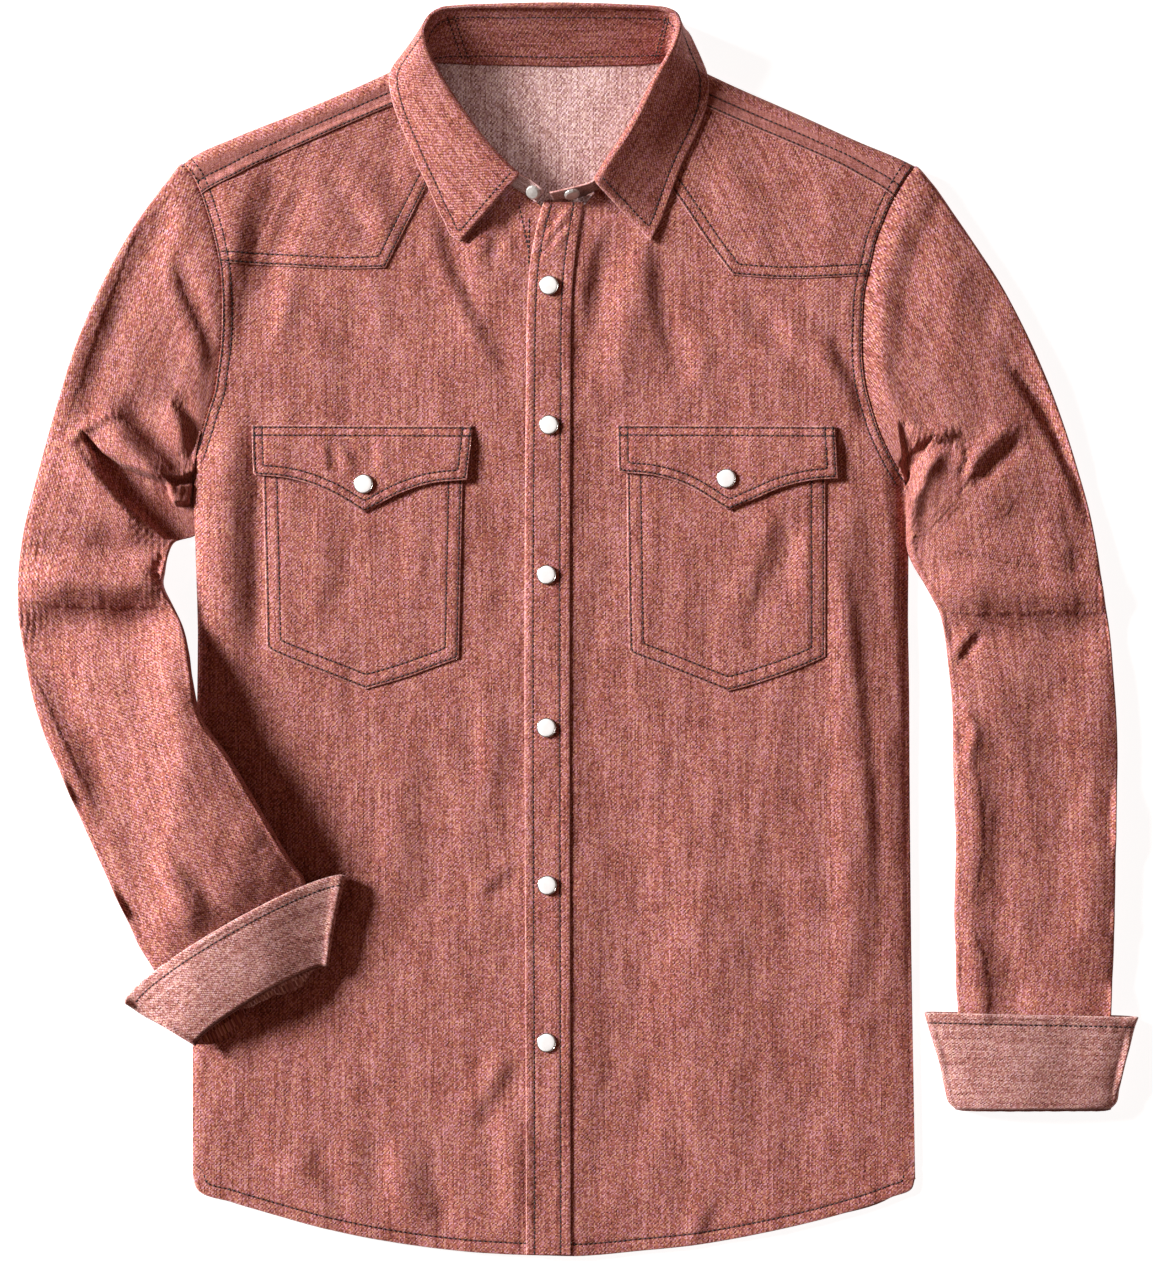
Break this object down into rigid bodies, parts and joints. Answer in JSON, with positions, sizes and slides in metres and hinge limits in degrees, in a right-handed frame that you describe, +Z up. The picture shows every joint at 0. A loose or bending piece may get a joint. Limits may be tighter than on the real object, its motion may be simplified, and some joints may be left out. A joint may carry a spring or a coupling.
{
  "type": "western snap shirt",
  "caption": "Long-sleeved western shirt in washed rust twill, laid flat with its collar open, one sleeve bent over the front and both cuffs turned back.",
  "frame": {"origin": "middle of the bounding box, on the surface that the shirt lies on", "axes": "+X across the shirt to the right of someone looking down on its front, +Y from the hem to the collar, +Z up off the surface"},
  "size_m": [0.7115, 0.7938, 0.0386],
  "materials": {
    "denim": "washed cotton twill, matt, face side",
    "denim_reverse": "washed cotton twill, paler reverse side",
    "pearl": "pearl snap caps with a thin metal rim",
    "steel": "bare snap parts"
  },
  "bodies": {
    "root": {"back": "denim", "front_under": "denim", "front_over": "denim", "yoke_front_left": "denim", "yoke_front_right": "denim", "placket": "denim", "pocket_left": "denim", "pocket_right": "denim", "flap_left": "denim", "flap_right": "denim", "sleeve_left": "denim", "sleeve_right": "denim", "collar_leaf": "denim", "yoke_back": "denim_reverse", "collar_stand": "denim_reverse", "cuff_left": "denim_reverse", "cuff_right": "denim_reverse", "snap_1": "pearl", "snap_2": "pearl", "snap_3": "pearl", "snap_4": "pearl", "snap_5": "pearl", "snap_6": "pearl", "snap_flap_left": "pearl", "snap_flap_right": "pearl", "snap_collar_stud": "steel", "snap_collar_cap": "steel"}
  },
  "joints": []
}
